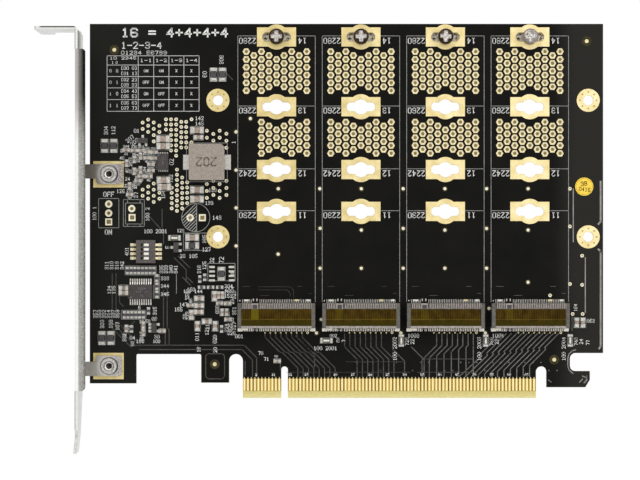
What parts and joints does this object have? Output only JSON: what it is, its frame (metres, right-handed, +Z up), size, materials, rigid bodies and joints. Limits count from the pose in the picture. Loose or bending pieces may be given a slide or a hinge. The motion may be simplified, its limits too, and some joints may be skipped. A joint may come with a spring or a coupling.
{
  "type": "solid-state module adapter card",
  "caption": "Adapter card with a steel slot bracket, a gold edge connector and a row of module bays, each with a socket and winged slots for its standoff.",
  "frame": {"origin": "middle of the key notch on the bottom edge of the gold tongue, halfway through the board's thickness", "axes": "+X along the card away from its bracket, +Y out of the solder side, +Z up from the edge connector"},
  "size_m": [0.1617, 0.0216, 0.1223],
  "materials": {
    "board": "black solder mask over glass fibre, semi gloss",
    "gold": "gold plated, smooth",
    "bracket_steel": "bright nickel plated sheet, slightly mottled",
    "screw_steel": "nickel plated",
    "nut_steel": "nickel plated",
    "tin": "tinned, satin",
    "socket_plastic": "dark grey moulded, satin",
    "tape": "amber film, glossy",
    "switch_body": "dark grey moulded",
    "lead_gold": "pale gold plated",
    "coil": "pressed iron powder, matt",
    "chip_black": "moulded epoxy, matt",
    "ceramic_tan": "fired ceramic, satin",
    "resistor": "glazed top, satin",
    "lamp": "clear moulded lens",
    "slider": "white moulded",
    "sticker": "yellow paper label"
  },
  "bodies": {
    "card": {"circuit_board": "board", "edge_contacts": "gold", "bracket": "bracket_steel", "bracket_screws": "screw_steel", "socket_anchors": "tin", "standoffs": "nut_steel", "module_screws": "screw_steel", "switch_base": "switch_body", "switch_cover": "switch_body", "switch_leads": "lead_gold", "coil_body": "coil", "coil_terminals": "tin", "controller_chip": "chip_black", "controller_leads": "tin", "regulator_chip": "chip_black", "transistor_bodies": "chip_black", "transistor_leads": "tin", "large_capacitors": "ceramic_tan", "large_capacitor_ends": "tin", "ferrite_beads": "chip_black", "ferrite_bead_ends": "tin", "medium_capacitors": "ceramic_tan", "medium_capacitor_ends": "tin", "resistors": "resistor", "small_capacitors": "ceramic_tan", "converter_chips": "ceramic_tan", "status_lights": "lamp", "status_light_ends": "tin", "round_sticker": "sticker", "socket_housing_1": "socket_plastic", "socket_contacts_1": "tin", "socket_tape_1": "tape", "socket_housing_2": "socket_plastic", "socket_contacts_2": "tin", "socket_tape_2": "tape", "socket_housing_3": "socket_plastic", "socket_contacts_3": "tin", "socket_tape_3": "tape", "socket_housing_4": "socket_plastic", "socket_contacts_4": "tin", "socket_tape_4": "tape"},
    "slider_1": {"switch_slider_1": "slider"},
    "slider_2": {"switch_slider_2": "slider"},
    "slider_3": {"switch_slider_3": "slider"},
    "slider_4": {"switch_slider_4": "slider"}
  },
  "joints": [
    {"name": "slider_1_slide", "type": "slide", "parent": "card", "child": "slider_1", "axis": [-1, 0, 0], "range_m": [0, 0.00095]},
    {"name": "slider_2_slide", "type": "slide", "parent": "card", "child": "slider_2", "axis": [-1, 0, 0], "range_m": [0, 0.00095]},
    {"name": "slider_3_slide", "type": "slide", "parent": "card", "child": "slider_3", "axis": [-1, 0, 0], "range_m": [0, 0.00095]},
    {"name": "slider_4_slide", "type": "slide", "parent": "card", "child": "slider_4", "axis": [-1, 0, 0], "range_m": [0, 0.00095]}
  ]
}
